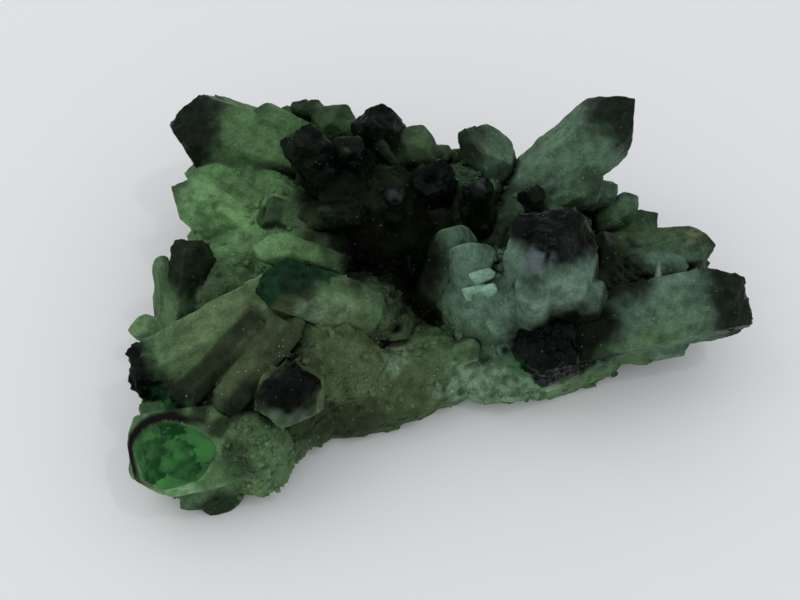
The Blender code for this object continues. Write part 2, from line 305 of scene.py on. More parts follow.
def sideGrowth(seed, form):
    # smaller points grown on the flanks of a crystal, nearly parallel to it and half sunk in it
    rng = np.random.default_rng(seed + 1000)
    rows = []
    for number in range(form["side"]):
        angle = rng.uniform(0, 2 * np.pi)
        small = form["width"] * rng.uniform(*sidePoints["width"])
        low = rng.uniform(0.0, sidePoints["start"]) * form["top"]
        high = min(low + rng.uniform(*sidePoints["length"]) * small, sidePoints["highest"] * form["top"])
        out = 0.5 * form["width"] * np.array([np.cos(angle), np.sin(angle)])
        foot = form["foot"] + form["axes"] @ np.array([*(sidePoints["footOut"] * out), low])
        tip = form["foot"] + form["axes"] @ np.array([*(out * rng.uniform(*sidePoints["tipOut"])), high])
        rows.append(crystal(foot, tip, small, roll=form["roll"], end=rng.choice([0.0, 0.0, 0.3]),
                            apex=tuple(rng.uniform(-sidePoints["apex"], sidePoints["apex"], 2)),
                            dark=rng.uniform(*sidePoints["dark"]) * (form["dark"] > 0),
                            black=form["black"] * sidePoints["black"],
                            tone=form["tone"] * rng.uniform(*sidePoints["tone"])))
    return rows


rootForm = {
    "cell": 0.75,  # millimetres
    "waveSize": 13.0,
    "waveHeight": 2.2,
    "blockSize": 6.5,  # broken faces
    "blockHeight": 1.5,
    "knobSize": 3.0,
    "knobHeight": 0.35,
    "facetSize": 1.8,  # sugary points
    "facetHeight": 0.3,
    "tone": 0.9,  # a share of the quartz's own lightness
}


def lumpSurface(middle, radii, turn):
    # a ball in angle round (columns) and angle up (rows), stretched to three radii, and moved along its
    # rays by slow waves, knobs and small facets
    middle, radii = np.array(middle, float), np.array(radii, float)
    rows = max(20, round(np.pi * radii.mean() / rootForm["cell"]))
    columns = 2 * rows
    rise = np.pi * ((np.arange(rows) + 0.5) / rows - 0.5)[:, None]
    angles = 2 * np.pi * np.arange(columns)[None] / columns
    rays = np.stack([np.cos(rise) * np.cos(angles), np.cos(rise) * np.sin(angles),
                     np.sin(rise) * np.ones_like(angles)], -1)
    rays = np.concatenate([rays.reshape(-1, 3), [[0, 0, -1], [0, 0, 1]]])
    spin = np.radians(turn)
    place = rays * radii
    place = np.stack([place[:, 0] * np.cos(spin) - place[:, 1] * np.sin(spin),
                      place[:, 0] * np.sin(spin) + place[:, 1] * np.cos(spin), place[:, 2]], -1)
    outwards = place / np.linalg.norm(place, axis=-1, keepdims=True)
    world = middle + place
    relief = rootForm["waveHeight"] * softNoise(world, rootForm["waveSize"], 71)
    relief += rootForm["blockHeight"] * facetRelief(world, rootForm["blockSize"], 75)
    relief += rootForm["knobHeight"] * softNoise(world, rootForm["knobSize"], 81)
    relief += rootForm["facetHeight"] * facetRelief(world, rootForm["facetSize"], 91)
    world = world + outwards * relief[:, None]
    count = len(world)
    return world, (rows, columns), dict(darkEnd=np.zeros(count), tone=np.full(count, rootForm["tone"]),
                                        glow=np.zeros(count), pit=np.zeros(count), root=np.ones(count))


def closedMesh(name, points, shape, values):
    # a grid of rings with a fan of triangles at each pole, and one attribute for each row of values
    rows, columns = shape
    ring = np.arange(columns)
    after = (ring + 1) % columns
    start = np.arange(rows - 1)[:, None] * columns
    quads = np.stack([start + ring, start + after, start + columns + after, start + columns + ring], -1)
    last, lowPole, highPole = (rows - 1) * columns, rows * columns, rows * columns + 1
    low = np.stack([after, ring, np.full(columns, lowPole)], -1)
    high = np.stack([last + ring, last + after, np.full(columns, highPole)], -1)
    mesh = bpy.data.meshes.new(name)
    loops = np.concatenate([quads.ravel(), low.ravel(), high.ravel()])
    sizes = np.concatenate([np.full(quads.size // 4, 4), np.full(2 * columns, 3)])
    mesh.vertices.add(len(points))
    mesh.vertices.foreach_set("co", (points * mm).astype(np.float32).ravel())
    mesh.loops.add(len(loops))
    mesh.loops.foreach_set("vertex_index", loops.astype(np.int32))
    mesh.polygons.add(len(sizes))
    mesh.polygons.foreach_set("loop_start", (np.cumsum(sizes) - sizes).astype(np.int32))
    addValues(mesh, values)
    mesh.update(calc_edges=True)
    mesh.validate()
    return bpy.data.objects.new(name, mesh)


def addValues(mesh, values):
    # one number for each point, for the materials to read
    for key, value in values.items():
        mesh.attributes.new(key, "FLOAT", "POINT").data.foreach_set("value", value.astype(np.float32))


def gathered(data, key, columns=1, kind=np.float32):
    # one value, or one row of columns, for each point, edge, corner or face of a mesh
    values = np.zeros(len(data) * columns, kind)
    data.foreach_get(key, values)
    return values.reshape(-1, columns) if columns > 1 else values


westFan = {
    "lumps": {  # middle, radii, turn in degrees
        "westMound": ((-57, -21, 10), (35, 29, 21), 35),
        "westSaddle": ((-46, 7, 14), (22, 15, 21), 10),
        "westBackMound": ((-54, 27, 12), (32, 26, 24), 10),
        "emeraldSkirt": ((-27, -5, 18), (18, 15, 21), 0),
        "westBetween": ((-62, 42, 18), (22, 14, 18), 5),
        "budBank": ((-43, 20, 23), (14, 14, 14), 0),
        "westFlank": ((-70, 8, 17), (18, 17, 17), 0),
    },
    "crystals": {  # foot, tip, width, then what differs from plainForm
        "westGiant": crystal((-42, 57, 23), (-92, 59, 47), 26, roll=8, apex=(0, 0), end=0.2, lean=(-10, 0),
            dark=0.55, black=0.93, rough=0.45, tone=0.7, side=1),
        "westUnder": crystal((-42, 43, 18), (-86, 46, 35), 16, roll=20, apex=(0, 0), dark=0.15, black=0.5,
            tone=1.25, side=1),
        "westSecond": crystal((-57, 24, 20), (-88, 37, 40), 17, roll=10, apex=(0.05, 0), dark=0.36, black=0.7,
            tone=1.3, side=1),
        "westBud": crystal((-42, 27, 28), (-61, 26, 41), 11, end=0.7, pit=2.0, dark=0.5, black=0.75),
        "westThird": crystal((-36, 7, 33), (-58, 8, 46), 12, flat=0.8, roll=15, apex=(0.2, 0), tone=0.95,
            side=1),
        "emerald": crystal((-28, -9, 32), (-58, -8, 50), 18, flat=0.85, roll=25, end=0.3, lean=(10, 0),
            dark=1.0, lop=(0.6, 0.9), black=0.97, rough=0.8, glow=0.3),
        "northwestStub": crystal((-83, -5, 12), (-77, 13, 45), 19, flat=0.85, roll=12, taper=0.6, end=0.35,
            lean=(0, 8), dark=0.8, black=0.9, rough=0.6, side=4),
        "paleBead": crystal((-90, -5, 15), (-101, -7, 20), 8, roll=15, taper=1.0, tone=1.35),
        "farA": crystal((-60, 52, 14), (-78, 68, 24), 14, roll=10, apex=(0.1, 0.1), dark=0.5, black=0.7,
            side=2),
        "farB": crystal((-42, 56, 12), (-50, 73, 22), 12, roll=20, end=0.4, dark=0.5, black=0.7, side=2),
        "farH": crystal((-66, 36, 9), (-80, 44, 14), 11, roll=12, apex=(0.1, 0.1), dark=0.5, black=0.7,
            side=2),
        "farI": crystal((-74, 8, 9), (-88, 12, 12), 11, roll=8, dark=0.5, black=0.7, side=2),
        "slopeMid": crystal((-29, -12, 24), (-34, -4, 46), 12, roll=12, apex=(0, 0.2), tone=0.75),
    },
}

cornerGrowth = {
    "lumps": {  # middle, radii, turn in degrees
        "southWestFoot": ((-65, -41, 8), (27, 17, 14), 36),
        "southWestShard": ((-70, -57, 4), (10, 6, 8), 20),
        "westShoulder": ((-60, -22, 16), (24, 17, 19), 25),
        "frontSlope": ((-35, -21, 17), (19, 14, 20), 0),
        "cornerShoulder": ((-58, -48, 13), (13, 12, 16), 0),
    },
    "crystals": {  # foot, tip, width, then what differs from plainForm
        "westSlab": crystal((-52, -10, 33), (-101, -34, 21), 23, flat=0.85, roll=28, apex=(0, 0.25), end=0.6,
            lean=(0, -15), dark=0.42, black=1.0, rough=1.3, tone=1.2),
        "ridgeSmall": crystal((-58, -19, 37), (-82, -41, 26), 10, roll=5, taper=0.8, end=0.4, dark=0.3,
            black=0.6, tone=0.75),
        "ridgeSecond": crystal((-50, -21, 36), (-69, -45, 26), 12, roll=18, taper=0.8, end=0.4, dark=0.3,
            black=0.6, tone=0.75),
        "frontHead": crystal((-43, -25, 12), (-48, -48, 45), 18, roll=20, end=0.6, lean=(0, 12), dark=0.3,
            lop=(0.5, 0.3), black=1.0, rough=1.1, tone=1.2),
        "cornerGem": crystal((-66, -45, 14), (-99, -59, 24), 25, roll=30, taper=1.0, apex=(0, 0), end=0.45,
            tone=1.1, window=True),
        "cornerBudA": crystal((-84, -40, 18), (-92, -38, 26), 8, roll=10, dark=0.4, black=0.5, glow=0.5),
        "cornerBudB": crystal((-79, -43, 20), (-85, -40, 29), 7, roll=35, dark=0.6, black=0.6, glow=0.7),
        "cornerLow": crystal((-66, -52, 10), (-81, -64, 7), 11, tone=0.7),
        "pitWest": crystal((-46, -9, 16), (-48, -22, 43), 11, flat=0.75, roll=18, end=0.75, lean=(12, 6),
            pit=3.0, tone=0.8),
        "ringWest": crystal((-31, -11, 12), (-32, -23, 41), 11, flat=0.8, roll=25, end=0.75, lean=(-10, 5),
            pit=2.5, tone=0.75),
    },
}

northRow = {
    "lumps": {  # middle, radii, turn in degrees
        "northMound": ((-22, 46, 11), (40, 22, 21), -5),
        "hollowFloor": ((-10, 8, 3), (38, 36, 15), 0),
        "northBank": ((-22, 36, 17), (30, 18, 24), -5),
        "hollowBank": ((-20, -7, 13), (15, 13, 16), 0),
        "northSaddle": ((8, 43, 19), (16, 14, 19), 0),
    },
    "crystals": {  # foot, tip, width, then what differs from plainForm
        "backBlock": crystal((-46, 69, 26), (-47, 69, 46), 7, roll=10, end=0.6, dark=0.7, black=0.7),
        "backSpur": crystal((-43, 69, 30), (-55, 68, 42), 6, roll=25, dark=0.5, black=0.6),
        "backWide": crystal((-35, 64, 22), (-36, 65, 49), 14, roll=5, end=0.5, lean=(8, 0), dark=0.35,
            black=0.5, tone=0.85, side=3),
        "backKnob": crystal((-42, 67, 26), (-42, 70, 45), 6, roll=15, dark=0.8, black=0.7),
        "darkWest": crystal((-30, 34, 32), (-48, 41, 63), 14, roll=15, end=0.3, lean=(10, 0), dark=1.5,
            black=0.95, rough=0.7, tone=0.55, side=4),
        "brokenSpot": crystal((-28, 41, 34), (-30, 40, 60), 11, roll=5, end=0.7, lean=(-12, 0), dark=0.9,
            rough=0.5, tone=0.5, side=1),
        "darkNorth": crystal((-9, 52, 26), (-26, 55, 57), 15, roll=24, end=0.4, lean=(10, 0), dark=1.1,
            black=0.97, rough=0.5, tone=0.5, side=4),
        "northShoulder": crystal((0, 50, 22), (-13, 56, 48), 13, roll=10, apex=(0.1, 0.1), end=0.3,
            lean=(-20, 0), dark=0.3, black=0.5, tone=0.75, side=3),
        "northLowA": crystal((2, 53, 24), (0, 54, 40), 8, tone=0.8),
        "northLowB": crystal((8, 53, 22), (6, 55, 37), 8, roll=15, tone=0.8),
        "pitHead": crystal((1, 44, 18), (-4, 31, 54), 14, roll=12, end=0.8, pit=3.0, dark=1.3, black=1.0,
            rough=0.8, tone=0.5, side=3),
        "glassA": crystal((-14, 33, 22), (-15, 28, 48), 7, roll=10, end=0.4, dark=0.4, black=0.6),
        "glassB": crystal((-14, 28, 20), (-15, 23, 43), 7, roll=30, dark=0.4, black=0.6),
        "darkBar": crystal((-41, 26, 34), (-21, 19, 46), 10, roll=15, end=0.6, dark=1.6, black=0.9, rough=0.6,
            tone=0.4, side=2),
        "northPoint": crystal((20, 50, 20), (13, 53, 53), 18, roll=24, taper=0.85, apex=(0.3, 0), dark=0.5,
            black=0.7, rough=0.35, tone=0.9, side=1),
        "farC": crystal((-20, 55, 12), (-20, 73, 24), 15, roll=5, apex=(0.1, 0.2), dark=0.5, black=0.7,
            side=2),
        "farD": crystal((2, 50, 12), (6, 68, 22), 13, roll=15, end=0.4, dark=0.5, black=0.7, side=2),
        "hollowA": crystal((-26, 6, 10), (-24, 10, 32), 11, roll=20, dark=0.8, black=0.9, tone=0.4, side=2),
        "hollowB": crystal((-4, 14, 8), (-8, 16, 30), 12, roll=5, apex=(0.2, 0), dark=0.8, black=0.9,
            tone=0.4, side=2),
        "midDark": crystal((14, 30, 26), (11, 26, 54), 10, roll=12, end=0.4, dark=1.0, black=0.85, rough=0.4,
            tone=0.5, side=3),
    },
}

eastFan = {
    "lumps": {  # middle, radii, turn in degrees
        "northEastMound": ((32, 34, 10), (30, 20, 21), 0),
        "eastRidge": ((60, 8, 10), (28, 14, 15), 5),
        "eastBank": ((56, 20, 11), (26, 17, 17), 0),
        "northEastSaddle": ((36, 22, 20), (17, 14, 18), 0),
        "eastBetween": ((68, 7, 15), (20, 14, 12), 0),
    },
    "crystals": {  # foot, tip, width, then what differs from plainForm
        "neGiant": crystal((29, 44, 23), (64, 53, 62), 20, roll=22, taper=1.05, apex=(0.05, -0.05), dark=0.75,
            black=0.92, rough=0.35, tone=1.12),
        "neUnder": crystal((32, 35, 26), (54, 34, 48), 13, roll=10, apex=(0.1, 0.1), dark=0.5, black=0.6,
            tone=0.9, side=3),
        "neStepA": crystal((47, 35, 26), (58, 34, 43), 8, roll=15, dark=0.4, black=0.5, tone=0.85, side=2),
        "neStepB": crystal((51, 29, 22), (66, 31, 39), 10, apex=(0.1, -0.1), dark=0.4, black=0.5, tone=0.85,
            side=2),
        "neStepC": crystal((57, 25, 20), (73, 28, 34), 10, roll=20, apex=(0.1, -0.1), dark=0.4, black=0.5,
            tone=0.9, side=2),
        "eastPoint": crystal((55, 20, 22), (91, 18, 30), 14, roll=10, apex=(0.1, 0), dark=0.35, black=0.6,
            tone=0.75, side=1),
        "eastPointLow": crystal((68, 20, 17), (91, 19, 20), 9, roll=25, dark=0.5, black=0.7),
        "eastPointFront": crystal((60, 12, 25), (81, 11, 29), 9, roll=15, tone=0.75, side=2),
        "eastGiant": crystal((48, -10, 24), (103, -1, 33), 23, flat=0.9, roll=26, taper=1.0, end=0.55,
            lean=(6, 0), dark=0.6, black=0.9, rough=0.7, tone=0.92, side=1),
        "eastLobe": crystal((62, -9, 19), (99, -4, 23), 12, roll=10, end=0.4, dark=0.7, black=0.9, rough=0.4),
        "eastLow": crystal((50, -10, 14), (82, -9, 16), 12, roll=20, apex=(0.1, 0), dark=0.35, black=0.7,
            side=2),
        "midDarkB": crystal((36, 31, 26), (27, 26, 50), 9, roll=20, dark=1.2, black=0.95, rough=0.4, tone=0.6,
            side=2),
        "farE": crystal((24, 46, 12), (32, 64, 22), 14, roll=25, apex=(0, 0.1), dark=0.5, black=0.7, side=2),
        "farF": crystal((46, 38, 12), (58, 53, 20), 12, end=0.4, dark=0.5, black=0.7, side=2),
        "farG": crystal((60, 26, 10), (80, 34, 15), 12, roll=18, dark=0.5, black=0.7, side=2),
    },
}

centreGrowth = {
    "lumps": {  # middle, radii, turn in degrees
        "eastMound": ((34, 2, 12), (30, 26, 25), 0),
        "southLedge": ((-14, -19, 7), (38, 15, 19), 20),
        "southFoot": ((23, -13, 6), (27, 13, 12), 0),
        "kingSkirt": ((24, -3, 21), (25, 15, 24), 0),
        "kingBank": ((49, 2, 20), (18, 15, 19), 0),
    },
    "crystals": {  # foot, tip, width, then what differs from plainForm
        "king": crystal((36, -4, 16), (31, -1, 72), 28, roll=6, taper=0.85, apex=(0, -0.1), end=0.5,
            lean=(-6, -8), dark=0.3, lop=(0.35, 0.25), black=1.0, rough=0.6, side=1),
        "kingSide": crystal((52, 3, 22), (50, 10, 50), 9, roll=20, dark=0.7, black=0.7, side=2),
        "kingLedge": crystal((41, -6, 20), (45, -12, 50), 13, roll=12, end=0.5),
        "pillar": crystal((11, -5, 16), (9, 3, 56), 14, roll=8, apex=(0.1, 0.2), side=1),
        "pillarGrey": crystal((-1, 4, 18), (7, 13, 52), 15, roll=22, apex=(0.2, 0.2), tone=0.8, side=1),
        "ringCentre": crystal((-12, -5, 8), (-15, -14, 33), 11, flat=0.85, roll=10, end=0.75, lean=(8, -6),
            pit=3.0, tone=0.8),
        "hollowPale": crystal((-12, -20, 8), (-14, -23, 27), 8, roll=15, end=0.5, tone=0.9),
        "ringLow": crystal((-5, -19, 8), (-8, -24, 25), 8, end=0.75, pit=2.0, tone=0.8),
        "hollowC": crystal((-2, -4, 6), (-3, -8, 24), 9, roll=28, dark=0.5, tone=0.5),
        "ringEast": crystal((19, -7, 14), (18, -15, 38), 9, roll=10, end=0.75, pit=2.0),
        "ringEastLow": crystal((21, -14, 10), (20, -21, 30), 7, end=0.75, pit=1.6, tone=0.95),
        "paleBlob": crystal((9, -12, 10), (7, -20, 29), 9, roll=14, end=0.6, tone=0.95),
        "roundEast": crystal((53, -1, 14), (46, -9, 38), 10, roll=22, end=0.6, dark=0.5, black=0.6),
        "blackMass": crystal((37, -13, 8), (30, -25, 44), 20, roll=16, end=0.6, lean=(-8, 0), dark=0.9,
            black=1.0, rough=1.3, side=2),
        "plateHigh": crystal((11, -6, 46), (16.5, -6.5, 50), 5, flat=0.5, end=0.5, tone=1.9),
        "plateLow": crystal((9, -8, 40), (18.5, -8.5, 44), 6, flat=0.45, end=0.5, tone=1.9),
    },
}

# how crowded by quartz each point is: it paints shade into the valleys and guides where the druse grows
shelter = {
    "voxel": 2.0,  # millimetres
    "margin": 14.0,
    "nearBlur": 4.0,
    "nearStep": 4.0,  # how far out from the surface the field is read
    "wideBlur": 11.0,
    "wideStep": 9.0,
    "passes": 12,
}


def filledField(forms, lumps, blur):
    # how full of quartz each spot's surroundings are: every voxel inside a crystal or lump counts 1, and a
    # Gaussian of this width, a product of its three directions, blurs the count
    low = np.array(cadLow) / mm - shelter["margin"]
    size = np.ceil((np.array(cadHigh) / mm - low + shelter["margin"]) / shelter["voxel"]).astype(int)
    spots = low + shelter["voxel"] * np.moveaxis(np.indices(size), 0, -1)
    full = np.zeros(size, bool)
    for form in forms:
        local = (spots - form["foot"]) @ np.linalg.inv(form["axes"]).T
        full |= (local @ form["normals"].T < form["reaches"]).all(-1) & (local[..., 2] > -form["root"])
    for middle, radii, turn in lumps:
        spin = np.radians(turn)
        away = spots - middle
        x = away[..., 0] * np.cos(spin) + away[..., 1] * np.sin(spin)
        y = away[..., 1] * np.cos(spin) - away[..., 0] * np.sin(spin)
        full |= (x / radii[0]) ** 2 + (y / radii[1]) ** 2 + (away[..., 2] / radii[2]) ** 2 < 1
    field = full.astype(float)
    reach = int(3 * blur / shelter["voxel"])
    weights = np.exp(-0.5 * (np.arange(-reach, reach + 1) * shelter["voxel"] / blur) ** 2)
    weights /= weights.sum()
    for way in range(3):
        field = np.apply_along_axis(np.convolve, way, field, weights, "same")
    return low, field


def readField(low, field, places):
    # the field's value at each place, blended between the eight voxels round it
    spot = (places - low) / shelter["voxel"]
    cube = np.clip(np.floor(spot).astype(int), 0, np.array(field.shape) - 2)
    return betweenCorners(np.clip(spot - cube, 0, 1),
                          lambda corner: field[tuple(np.moveaxis(cube + corner, -1, 0))])


seeds = {"piece": 40, "crystal": 7, "sidePoint": 300, "druse": 500}  # steps, so that no two forms are alike


def growPiece(name, piece, number):
    # unites the lumps and crystals of one piece, cuts it flat at the table, and keeps it inside the CAD box
    own = number * seeds["piece"]
    parts = [closedMesh(name + "_" + key, *lumpSurface(*row)) for key, row in piece["lumps"].items()]
    for i, (key, row) in enumerate(piece["crystals"].items()):
        form = crystalForm(row)
        forms = [form] + [crystalForm(small) for small in sideGrowth(own + i, form)]
        parts += [closedMesh(f"{name}_{key}_{j}",
                             *crystalSurface(own + seeds["crystal"] + i + j * seeds["sidePoint"], each))
                  for j, each in enumerate(forms)]
    others = bpy.data.collections.new(name + "_parts")
    bpy.context.scene.collection.children.link(others)
    first, rest = parts[0], parts[1:]
    bpy.context.scene.collection.objects.link(first)
    for part in rest:
        others.objects.link(part)
    grown = first.modifiers.new("grown", "BOOLEAN")
    grown.operation, grown.solver = "UNION", "MANIFOLD"
    grown.operand_type, grown.collection = "COLLECTION", others
    flat = first.modifiers.new("flat", "BOOLEAN")
    flat.operation, flat.solver, flat.object = "DIFFERENCE", "MANIFOLD", tableBlock
    view = bpy.context.evaluated_depsgraph_get()
    mesh = bpy.data.meshes.new_from_object(first.evaluated_get(view))
    mergeSlivers(mesh)
    seamValues(mesh)
    for part in parts:
        bpy.data.objects.remove(part)
    bpy.data.collections.remove(others)
    mesh.name = name
    places = gathered(mesh.vertices, "co", 3)
    places = np.clip(places, np.array(cadLow) + frost["inset"] * mm, np.array(cadHigh) - frost["inset"] * mm)
    mesh.vertices.foreach_set("co", places.ravel())
    mesh.update()
    mesh.polygons.foreach_set("use_smooth", np.ones(len(mesh.polygons), bool))
    normals = gathered(mesh.vertices, "normal", 3)
    near = readField(*nearField, places / mm + normals * shelter["nearStep"])
    for _ in range(frost["rounds"]):
        places = frostedCreases(mesh, places, normals)
        mesh.vertices.foreach_set("co", places.ravel())
        mesh.update()
        normals = gathered(mesh.vertices, "normal", 3)
    sharpRidges(mesh)
    near = evened(mesh, near[:, None], shelter["passes"])[:, 0]
    wide = readField(*wideField, places / mm + normals * shelter["wideStep"])
    addValues(mesh, {"near": near, "wide": wide, **markValues(places / mm)})
    thing = bpy.data.objects.new(name, mesh)
    bpy.context.scene.collection.objects.link(thing)
    print(name, "has", len(mesh.polygons), "triangles")
    return thing


frost = {
    "rounds": 6,
    "passes": 5,
    "share": 0.8,  # of the way to the mean, in one pass
    "least": 0.025,  # millimetres, below which a hollow is only the grain of the surface
    "full": 0.10,
    "sharpAngle": 32,  # degrees
    "sliver": 0.16,
    "thin": 0.032,
    "inset": 0.01,  # kept between the pieces and the CAD box
}


def mergeSlivers(mesh):
    # the union leaves slivers along its seams: points nearer than this become one
    shape = bmesh.new()
    shape.from_mesh(mesh)
    bmesh.ops.remove_doubles(shape, verts=shape.verts, dist=frost["sliver"] * mm)
    bmesh.ops.dissolve_degenerate(shape, edges=shape.edges, dist=frost["thin"] * mm)
    bmesh.ops.triangulate(shape, faces=shape.faces)
    shape.to_mesh(mesh)
    shape.free()


def neighbourMeans(mesh):
    # a function that gives each point the mean of the values at the points that it shares an edge with
    edges = gathered(mesh.edges, "vertices", 2, np.int32)
    first, second = edges.T
    count = np.bincount(edges.ravel(), minlength=len(mesh.vertices)).clip(1)[:, None]

    def means(values):
        total = np.stack([np.bincount(first, column[second], len(values))
                          + np.bincount(second, column[first], len(values)) for column in values.T], -1)
        return total / count

    return means


def seamValues(mesh):
    # the union leaves the new points along its seams without values: each takes the mean of those next to it
    values = np.stack([gathered(mesh.attributes[key].data, "value") for key in grownValues])
    known = values[grownValues.index("tone")] > 0
    means = neighbourMeans(mesh)
    for _ in range(4):
        share = means(known[:, None].astype(float))[:, 0]
        found = ~known & (share > 0)
        guesses = means((values * known).T) / np.maximum(share, 1e-9)[:, None]
        values[:, found] = guesses[found].T
        known |= found
    for row, key in zip(values, grownValues):
        mesh.attributes[key].data.foreach_set("value", row)


def frostedCreases(mesh, places, normals):
    # frost fills the creases and leaves the ridges: a point moves to its neighbours' mean only where that
    # mean stands outside it, by more than the grain of the surface
    means = neighbourMeans(mesh)
    for _ in range(frost["passes"]):
        away = means(places) - places
        hollow = (away * normals).sum(-1) / mm
        places = places + frost["share"] * smooth(frost["least"], frost["full"], hollow)[:, None] * away
    return places.astype(np.float32)


def evened(mesh, values, passes):
    # each pass moves every point's value halfway to its neighbours' mean
    means = neighbourMeans(mesh)
    for _ in range(passes):
        values = 0.5 * values + 0.5 * means(values)
    return values.astype(np.float32)


def sharpRidges(mesh):
    # edges are sharp where two faces meet in a ridge, and soft in a valley: there the next face's middle
    # stands above the plane of this one
    mesh.set_sharp_from_angle(angle=np.radians(frost["sharpAngle"]))
    centres, normals = gathered(mesh.polygons, "center", 3), gathered(mesh.polygons, "normal", 3)
    loopEdges = gathered(mesh.loops, "edge_index", kind=np.int32)
    owner = np.repeat(np.arange(len(centres)), gathered(mesh.polygons, "loop_total", kind=np.int32))
    order = np.argsort(loopEdges, kind="stable")
    pairs = np.flatnonzero(np.diff(loopEdges[order]) == 0)
    here, there = owner[order[pairs]], owner[order[pairs + 1]]
    valley = ((centres[there] - centres[here]) * normals[here]).sum(-1) > 0
    marked = mesh.attributes["sharp_edge"].data
    sharp = gathered(marked, "value", kind=bool)
    sharp[loopEdges[order[pairs[valley]]]] = False
    marked.foreach_set("value", sharp)


groove = {"step": 3, "radii": (4.2, 4.2, 7.0), "share": 0.85}  # millimetres
markEdge = {"from": 1.15, "full": 0.55, "waver": 0.22, "waverSize": 7.0}  # in radii, but for the size


def stroke(start, end, amount):
    # a line of small upright ovals, as one groove's painted shade
    count = 2 + int(np.linalg.norm(np.subtract(end, start)) / groove["step"])
    places = np.linspace(start, end, count)
    return [(tuple(place), groove["radii"], groove["share"] * amount) for place in places]


# Stains with painted shade, colour zones, painted glints and painted reflections, in millimetres: middle,
# radii, amount
marks = {
    # dark stains, and painted shade in the hollow, the grooves and beside the tallest crystal
    "stainAndShade": [
        ((-14, 16, 28), (33, 28, 28), 1.0),  # painted shade over the darker quartz of the hollow between the two halves
        ((-28, 33, 46), (24, 16, 22), 0.95),
        ((-6, 33, 46), (21, 17, 20), 0.95),
        ((13, 26, 46), (13, 12, 16), 0.8),
        ((54, 4, 38), (15, 16, 26), 0.95),  # painted shade beside the tallest crystal
        ((40, -17, 30), (18, 13, 18), 1.0),
        ((68, -10, 34), (4, 3, 3), 0.8),
        *stroke((-58, -18, 40), (-66, -27, 36), 0.75),  # painted shade in the groove between the slab and the first ridge
        *stroke((-66, -27, 36), (-71, -33, 34), 0.9),
        *stroke((-71, -33, 34), (-80, -39, 30), 0.9),
        *stroke((-80, -39, 30), (-80, -45, 27), 0.95),
        *stroke((-70, -31, 34), (-73, -45, 26), 0.95),  # painted shade in the groove between the two ridges
        *stroke((-58, -39, 31), (-67, -49, 25), 0.9),  # painted shade below the second ridge
        ((-75, -47, 25), (8, 4, 5), 0.95),
        ((11, 5, 52), (4, 4, 4), 0.7),
        ((-38, -38, 12), (24, 11, 13), 0.6),
        ((-61, -56, 20), (7, 10, 12), 0.5),
        ((-68, -64, 4), (11, 7, 9), 0.8),
        ((-46, -4, 52), (15, 7, 7), 0.97),  # the emerald band
    ],
    "fresh": [
        ((-68, 52, 34), (40, 22, 26), 0.85),
        ((-70, 26, 30), (26, 18, 22), 0.9),
        ((-50, 6, 40), (22, 10, 12), 0.7),
        ((-78, -60, 12), (26, 14, 14), 0.8),
    ],
    "cool": [
        ((32, -6, 40), (34, 26, 40), 1.0),
        ((75, 0, 25), (34, 20, 24), 0.9),
        ((45, 45, 40), (40, 22, 30), 0.6),
        ((12, 0, 40), (16, 22, 30), 0.9),
    ],
    "olive": [
        ((-50, -24, 30), (40, 26, 30), 0.9),
        ((-20, -30, 14), (44, 20, 22), 0.8),
    ],
    "frosty": [
        ((17, -24, 12), (24, 10, 13), 0.8),
        ((31, -14, 44), (12, 7, 14), 0.5),
        ((-80, -64, 12), (18, 7, 9), 0.6),
        ((-14, -23, 26), (5, 5, 5), 0.8),
        ((-38, -14, 40), (12, 6, 8), 0.35),
    ],
    # painted glints: small white highlights at listed spots
    "glintSpot": [
        ((6.7, -22, 29), (1.3, 3, 3), 0.8),
        ((17, -23, 28), (1.3, 3, 3), 0.8),
        ((17.5, -29, 17), (1.2, 3, 3), 0.7),
        ((-46, -27, 41), (1.2, 3, 3), 0.6),
        ((70, 7, 27), (1.0, 5, 5), 0.6),
        ((80, -12, 30), (4.5, 1.0, 3), 0.6),
    ],
    "emerald": [
        ((25, -21, 22), (6, 6, 8), 0.9),
        ((-51, -6, 53), (5, 3, 4), 0.9),
        ((-88, -40, 24), (9, 7, 9), 0.6),
    ],
    # painted reflections: grey sheen on glassy facets
    "greyReflection": [
        ((26, -11, 60), (7, 5, 7), 0.9),
        ((-46, -50, 34), (8, 4, 5), 0.4),
        ((-14.5, 27, 46), (3, 3, 5), 0.28),  # small glassy heads in the hollow
        ((-14, 20, 46), (3, 3, 5), 0.28),
        ((13, 27, 50), (3, 3, 4), 0.3),
    ],
    "cream": [
        ((-29, 36, 61), (5, 4.5, 5), 1.0),
        ((82, 18, 31), (6, 5, 6), 0.2),
        ((-57, -58, 13), (6, 5, 6), 0.15),
    ],
}


def markValues(places):
    # each kind of mark is the greatest of its places' soft ovals
    waver = markEdge["waver"] * layeredNoise(places, markEdge["waverSize"], 121, 3)
    values = {}
    for kind, spots in marks.items():
        distances = [np.linalg.norm((places - middle) / radii, axis=-1) + waver for middle, radii, _ in spots]
        values[kind] = np.max([smooth(markEdge["from"], markEdge["full"], away) * amount
                               for away, (_, _, amount) in zip(distances, spots)], axis=0)
    edge = windowShare(places)
    side = ((places - cornerWindow["middle"]) / cornerWindow["radii"]) @ unit(cornerWindow["rimSide"])
    values["gem"] = smooth(1.0, 0.9, edge)
    values["rim"] = smooth(0.92, 0.99, edge) * smooth(1.26, 1.12, edge) * smooth(-0.3, 0.4, side)
    return values


druse = {
    "perPiece": 1100,
    "width": (0.9, 2.6),  # millimetres, small ones far more often
    "length": (0.45, 1.2),  # in widths
    "tilt": 0.5,
    "buried": 0.45,  # in widths
    "shoulder": 0.68,  # where the prism ends and the point begins, as a share of the length
    "tone": (0.75, 1.35),  # of the ground's own
    "near": (0.7, 1.0),
    "upward": 0.25,
    "taper": 0.92,
    "tipAside": 0.2,  # in half widths
    "patchSize": 14.0,
    "inset": 0.02,  # kept between the points and the CAD box
    "corners": 13,  # two rings of six, and the tip
}


